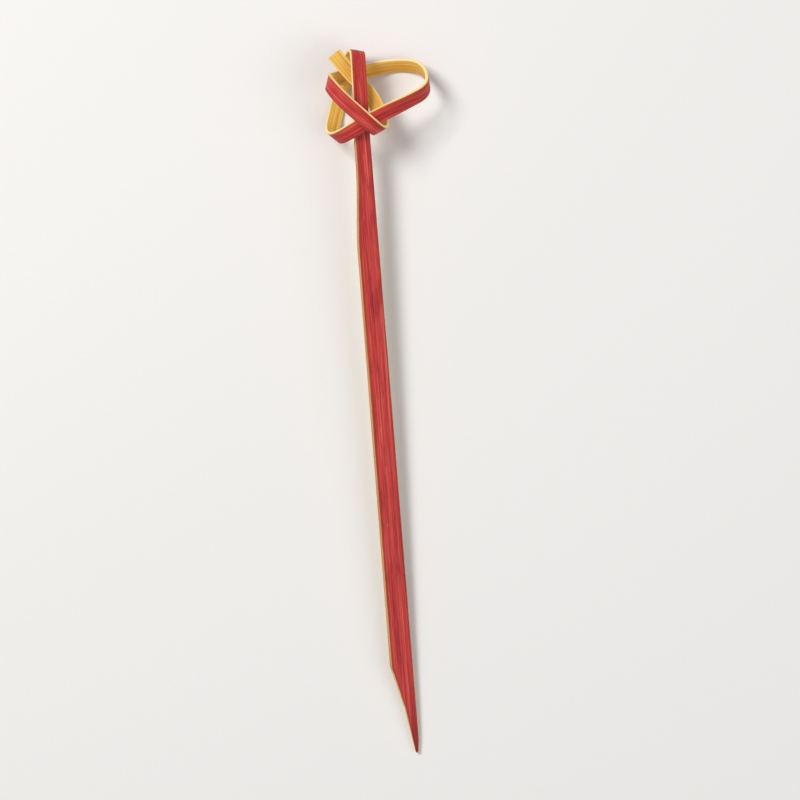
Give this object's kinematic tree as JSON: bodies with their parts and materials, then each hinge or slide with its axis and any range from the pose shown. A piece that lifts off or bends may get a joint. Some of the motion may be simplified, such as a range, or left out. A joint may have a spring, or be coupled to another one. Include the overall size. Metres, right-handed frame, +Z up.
{
  "type": "knotted bamboo skewer",
  "caption": "Flat bamboo skewer with a dyed skin side, whittled to a flat point at one end, its other end pared to a thin strip and tied in an open decorative knot.",
  "frame": {"origin": "centre of the bounding box in X and Y, on the table that the skewer lies on", "axes": "+Y along the skewer from the point to the knot, +Z up out of the dyed skin side, +X towards the knot's big loop"},
  "size_m": [0.0184, 0.12, 0.0116],
  "materials": {
    "dyed_bamboo": "satin dyed skin on the outside, bare straw-coloured bamboo on the inside and on the cut edges"
  },
  "bodies": {
    "root": {"skewer": "dyed_bamboo"}
  },
  "joints": []
}
